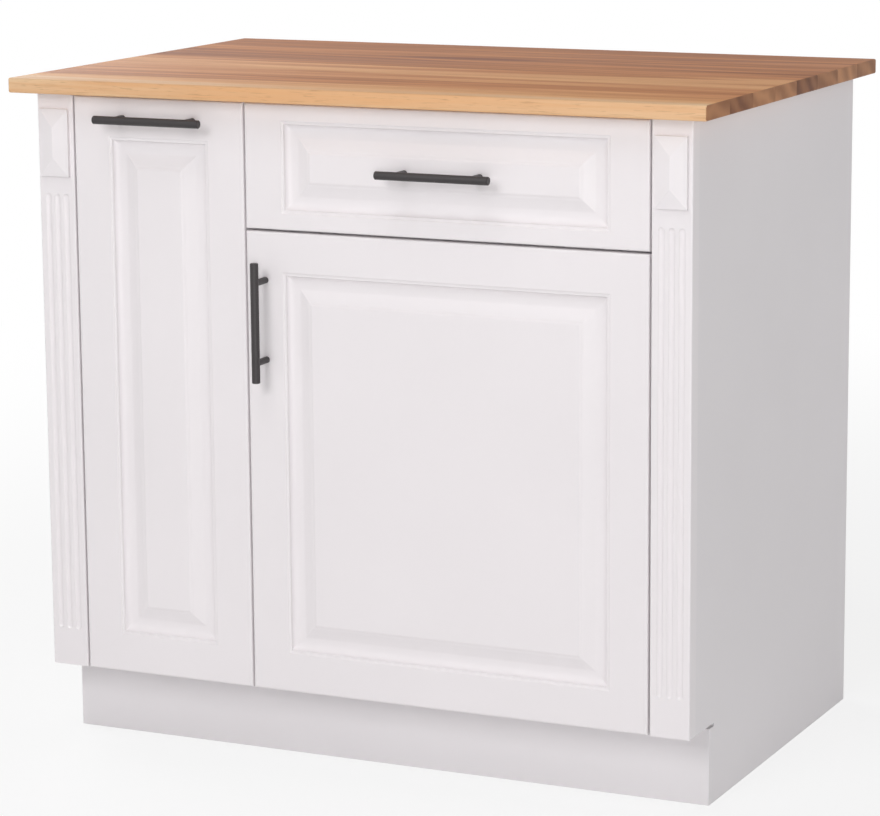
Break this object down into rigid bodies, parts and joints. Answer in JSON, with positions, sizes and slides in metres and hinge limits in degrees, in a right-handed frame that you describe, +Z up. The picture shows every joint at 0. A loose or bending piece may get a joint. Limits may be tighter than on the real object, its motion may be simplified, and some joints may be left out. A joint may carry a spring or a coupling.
{
  "type": "kitchen base cabinet",
  "caption": "White kitchen base cabinet with fluted pilasters, a narrow pull-out, a drawer over a hinged door, bar handles and an oak worktop.",
  "frame": {"origin": "on the floor under the middle of the whole object's box, from handles to the worktop's rear edge", "axes": "+Z up, +X to the right of a person facing the fronts, fronts facing -Y"},
  "size_m": [0.9, 0.608, 0.831],
  "materials": {
    "oiled_oak": "oiled edge-glued oak staves, satin",
    "white_foil_mdf": "satin white foil over routed fibreboard",
    "white_melamine_board": "white melamine-faced particle board",
    "white_hardboard": "white-faced hardboard",
    "black_satin_steel": "black satin powder coat",
    "zinc_plated_steel": "zinc-plated pressed steel",
    "nickel_plated_steel": "nickel-plated pressed steel",
    "chromed_wire": "bright chromed wire",
    "beech": "fluted beech dowel",
    "clear_bumper": "soft clear bumper"
  },
  "bodies": {
    "carcass": {"assembly_dowels": "beech", "back_panel": "white_hardboard", "back_panel_screws": "zinc_plated_steel", "bottom_panel": "white_melamine_board", "centre_partition": "white_melamine_board", "centre_support_board": "white_melamine_board", "drawer_divider_rail": "white_melamine_board", "drawer_slide_outers": "zinc_plated_steel", "front_rail_left": "white_melamine_board", "front_rail_right": "white_melamine_board", "hinge_arms": "nickel_plated_steel", "hinge_mounting_plates": "nickel_plated_steel", "left_end_panel": "white_melamine_board", "left_inner_side": "white_melamine_board", "left_pilaster": "white_foil_mdf", "left_pilaster_cap": "white_foil_mdf", "plinth_board": "white_melamine_board", "plinth_brackets": "zinc_plated_steel", "pullout_slide_outers": "zinc_plated_steel", "rear_rail_left": "white_melamine_board", "rear_rail_right": "white_melamine_board", "right_end_panel": "white_melamine_board", "right_inner_side": "white_melamine_board", "right_pilaster": "white_foil_mdf", "right_pilaster_cap": "white_foil_mdf", "shelf": "white_melamine_board", "shelf_pins": "nickel_plated_steel", "worktop": "oiled_oak", "worktop_screws": "zinc_plated_steel"},
    "door": {"door_bumpers": "clear_bumper", "door_handle_bar": "black_satin_steel", "door_handle_posts": "black_satin_steel", "door_handle_screws": "zinc_plated_steel", "door_panel": "white_foil_mdf", "hinge_cups": "nickel_plated_steel"},
    "hinge_links": {"hinge_links": "nickel_plated_steel"},
    "drawer": {"drawer_back": "white_melamine_board", "drawer_bottom": "white_hardboard", "drawer_front": "white_foil_mdf", "drawer_handle_bar": "black_satin_steel", "drawer_handle_posts": "black_satin_steel", "drawer_handle_screws": "zinc_plated_steel", "drawer_inner_front": "white_melamine_board", "drawer_left_side": "white_melamine_board", "drawer_right_side": "white_melamine_board", "drawer_slide_inners": "zinc_plated_steel"},
    "drawer_slide_middles": {"drawer_slide_middles": "zinc_plated_steel"},
    "pullout": {"pullout_back_board": "white_melamine_board", "pullout_front": "white_foil_mdf", "pullout_guard_rails": "chromed_wire", "pullout_handle_bar": "black_satin_steel", "pullout_handle_posts": "black_satin_steel", "pullout_handle_screws": "zinc_plated_steel", "pullout_inner_front": "white_melamine_board", "pullout_lower_sides": "white_melamine_board", "pullout_lower_tray": "white_melamine_board", "pullout_slide_inners": "zinc_plated_steel", "pullout_upper_tray": "white_melamine_board"},
    "pullout_slide_middles": {"pullout_slide_middles": "zinc_plated_steel"}
  },
  "joints": [
    {"name": "drawer_slide", "type": "slide", "parent": "carcass", "child": "drawer", "axis": [0, -1, 0], "range_m": [0, 0.4]},
    {"name": "drawer_slide_middle_run", "type": "slide", "parent": "carcass", "child": "drawer_slide_middles", "axis": [0, -1, 0], "range_m": [0, 0.2]},
    {"name": "pullout_slide", "type": "slide", "parent": "carcass", "child": "pullout", "axis": [0, -1, 0], "range_m": [0, 0.4]},
    {"name": "pullout_slide_middle_run", "type": "slide", "parent": "carcass", "child": "pullout_slide_middles", "axis": [0, -1, 0], "range_m": [0, 0.2]},
    {"name": "door_swing", "type": "hinge", "parent": "carcass", "child": "door", "pos_m": [0.3675, -0.265, 0], "axis": [0, 0, 1], "range_deg": [0, 95]},
    {"name": "hinge_link_turn", "type": "hinge", "parent": "carcass", "child": "hinge_links", "pos_m": [0.3485, -0.255, 0], "axis": [0, 0, 1], "range_deg": [-40.5, 0]}
  ],
  "couplings": [
    {"joint": "drawer_slide_middle_run", "follows": "drawer_slide", "ratio": 0.5},
    {"joint": "pullout_slide_middle_run", "follows": "pullout_slide", "ratio": 0.5},
    {"joint": "hinge_link_turn", "follows": "door_swing", "ratio": -0.4244}
  ]
}
